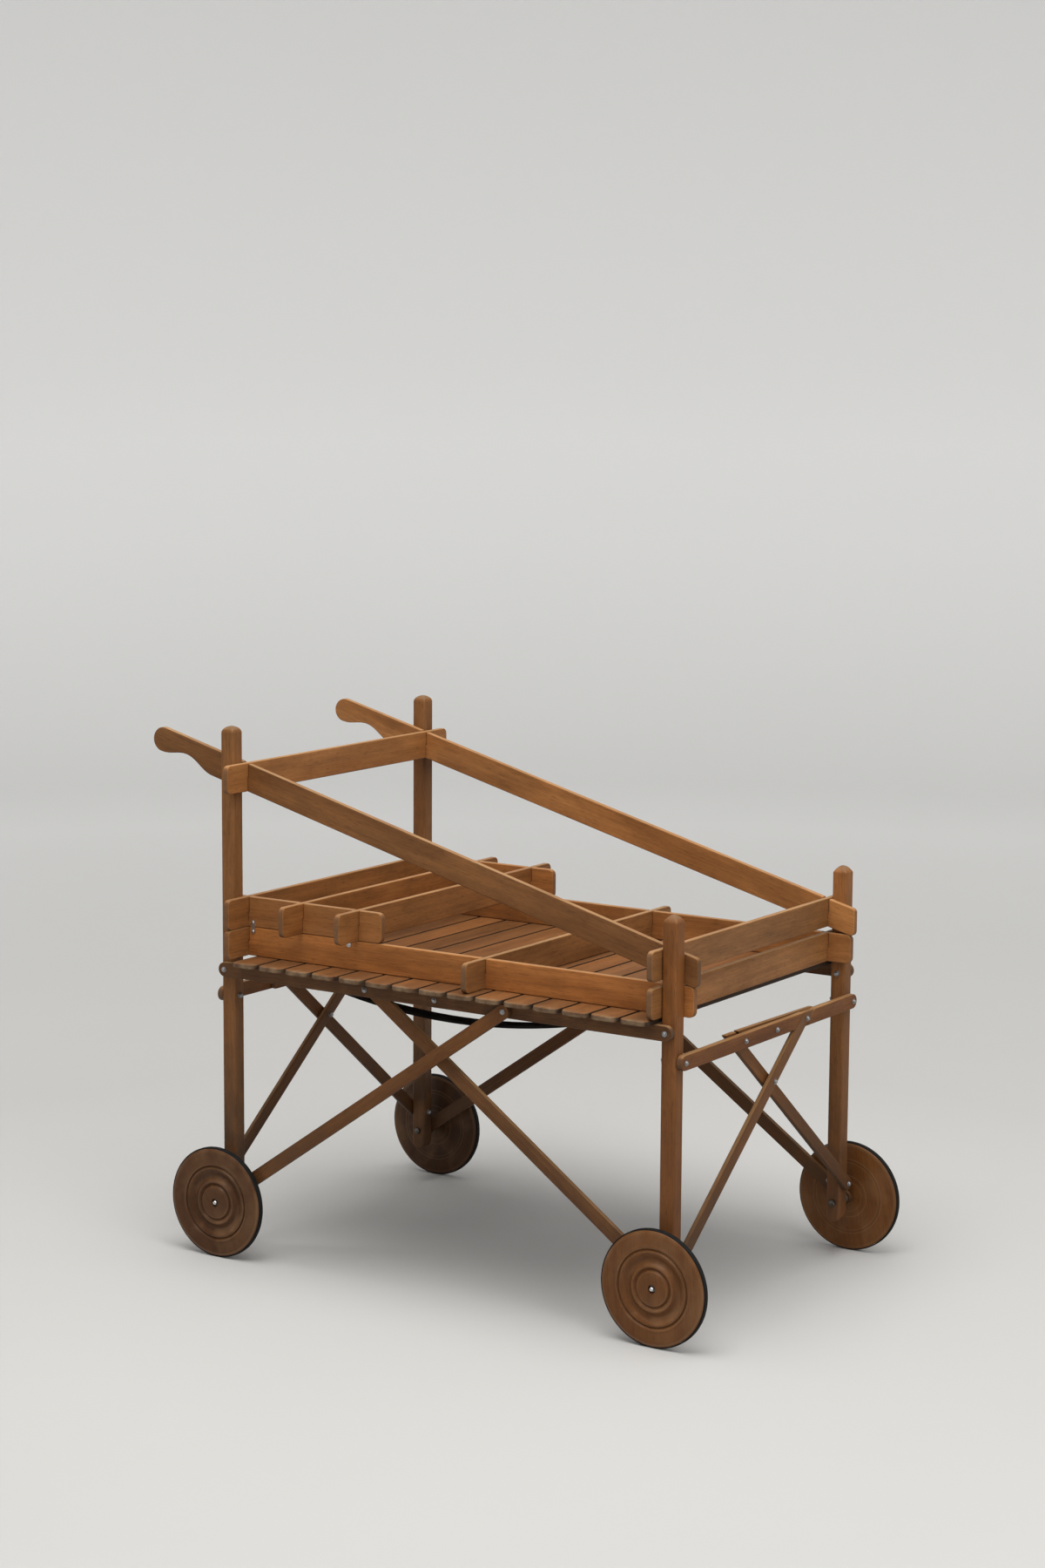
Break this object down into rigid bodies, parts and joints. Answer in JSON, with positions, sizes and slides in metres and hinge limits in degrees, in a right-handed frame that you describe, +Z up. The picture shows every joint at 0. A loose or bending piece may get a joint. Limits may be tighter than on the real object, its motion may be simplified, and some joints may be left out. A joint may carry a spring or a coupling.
{
  "type": "folding wagon",
  "caption": "Slatted wooden wagon with a low crate, a lift-off sloping handle frame and braced leg frames that fold under the deck, on turned wooden wheels.",
  "frame": {"origin": "on the floor under the middle of the outer box", "axes": "+X towards the low front end, -X towards the grips, -Y the near side with the strap, +Z up"},
  "size_m": [1.203, 0.71, 0.954],
  "materials": {
    "post_wood": "oiled",
    "board_wood": "oiled",
    "slat_wood": "oiled",
    "lath_wood": "oiled",
    "wheel_wood": "oiled",
    "tyre_rubber": "matte",
    "axle_steel": "polished",
    "strap_webbing": "woven"
  },
  "bodies": {
    "deck": {"bearer_near": "lath_wood", "bearer_far": "lath_wood", "slat_01": "slat_wood", "slat_02": "slat_wood", "slat_03": "slat_wood", "slat_04": "slat_wood", "slat_05": "slat_wood", "slat_06": "slat_wood", "slat_07": "slat_wood", "slat_08": "slat_wood", "slat_09": "slat_wood", "slat_10": "slat_wood", "slat_11": "slat_wood", "slat_12": "slat_wood", "slat_13": "slat_wood", "slat_14": "slat_wood", "slat_15": "slat_wood", "strap": "strap_webbing", "crate_board_near": "board_wood", "crate_board_far": "board_wood", "crate_cross_rear": "board_wood", "crate_cross_middle": "board_wood", "crate_cross_front": "board_wood", "tray_board_near": "board_wood", "tray_board_far": "board_wood", "tray_cross_1": "board_wood", "tray_cross_2": "board_wood", "tray_cross_3": "board_wood"},
    "handle_frame": {"handle_rail_near": "board_wood", "handle_rail_far": "board_wood", "handle_cross_rear": "board_wood", "handle_cross_front": "board_wood"},
    "rear_frame": {"post_rear_near": "post_wood", "post_rear_far": "post_wood", "axle_rear_near": "axle_steel", "axle_rear_far": "axle_steel", "end_rail_rear": "lath_wood", "end_brace_rear_outer": "lath_wood", "end_brace_rear_inner": "lath_wood", "end_packer_rear": "lath_wood"},
    "front_frame": {"post_front_near": "post_wood", "post_front_far": "post_wood", "axle_front_near": "axle_steel", "axle_front_far": "axle_steel", "end_rail_front": "lath_wood", "end_brace_front_outer": "lath_wood", "end_brace_front_inner": "lath_wood", "end_packer_front": "lath_wood"},
    "side_brace_near_outer": {"side_brace_near_outer": "lath_wood"},
    "side_brace_near_inner": {"side_brace_near_inner": "lath_wood"},
    "side_brace_far_outer": {"side_brace_far_outer": "lath_wood"},
    "side_brace_far_inner": {"side_brace_far_inner": "lath_wood"},
    "road_wheel_rear_near": {"wheel_rear_near": "wheel_wood", "tyre_rear_near": "tyre_rubber"},
    "road_wheel_rear_far": {"wheel_rear_far": "wheel_wood", "tyre_rear_far": "tyre_rubber"},
    "road_wheel_front_near": {"wheel_front_near": "wheel_wood", "tyre_front_near": "tyre_rubber"},
    "road_wheel_front_far": {"wheel_front_far": "wheel_wood", "tyre_front_far": "tyre_rubber"}
  },
  "joints": [
    {"name": "rear_fold", "type": "hinge", "parent": "deck", "child": "rear_frame", "pos_m": [-0.41051, 0, 0.52], "axis": [0, -1, 0], "range_deg": [0, 55]},
    {"name": "front_fold", "type": "hinge", "parent": "deck", "child": "front_frame", "pos_m": [0.50149, 0, 0.52], "axis": [0, 1, 0], "range_deg": [0, 55]},
    {"name": "handle_lift", "type": "slide", "parent": "deck", "child": "handle_frame", "axis": [0, 0, 1], "range_m": [0, 0.25]},
    {"name": "near_outer_brace_fold", "type": "hinge", "parent": "rear_frame", "child": "side_brace_near_outer", "pos_m": [-0.41051, -0.326, 0.1], "axis": [0, 1, 0], "range_deg": [0, 75]},
    {"name": "far_inner_brace_fold", "type": "hinge", "parent": "rear_frame", "child": "side_brace_far_inner", "pos_m": [-0.41051, 0.313, 0.1], "axis": [0.0038, 0.9997, 0.0224], "range_deg": [0, 75]},
    {"name": "far_outer_brace_fold", "type": "hinge", "parent": "front_frame", "child": "side_brace_far_outer", "pos_m": [0.50149, 0.326, 0.1], "axis": [0, -1, 0], "range_deg": [0, 75]},
    {"name": "near_inner_brace_fold", "type": "hinge", "parent": "front_frame", "child": "side_brace_near_inner", "pos_m": [0.50149, -0.313, 0.1], "axis": [-0.0038, -0.9997, 0.0224], "range_deg": [0, 75]},
    {"name": "wheel_spin_rear_near", "type": "hinge", "parent": "rear_frame", "child": "road_wheel_rear_near", "pos_m": [-0.41051, -0.335, 0.1], "axis": [0, 1, 0], "continuous": true},
    {"name": "wheel_spin_rear_far", "type": "hinge", "parent": "rear_frame", "child": "road_wheel_rear_far", "pos_m": [-0.41051, 0.335, 0.1], "axis": [0, 1, 0], "continuous": true},
    {"name": "wheel_spin_front_near", "type": "hinge", "parent": "front_frame", "child": "road_wheel_front_near", "pos_m": [0.50149, -0.335, 0.1], "axis": [0, 1, 0], "continuous": true},
    {"name": "wheel_spin_front_far", "type": "hinge", "parent": "front_frame", "child": "road_wheel_front_far", "pos_m": [0.50149, 0.335, 0.1], "axis": [0, 1, 0], "continuous": true}
  ],
  "couplings": [
    {"joint": "near_outer_brace_fold", "follows": "rear_fold", "ratio": 1.35},
    {"joint": "far_inner_brace_fold", "follows": "rear_fold", "ratio": 1.35},
    {"joint": "far_outer_brace_fold", "follows": "front_fold", "ratio": 1.35},
    {"joint": "near_inner_brace_fold", "follows": "front_fold", "ratio": 1.35}
  ]
}
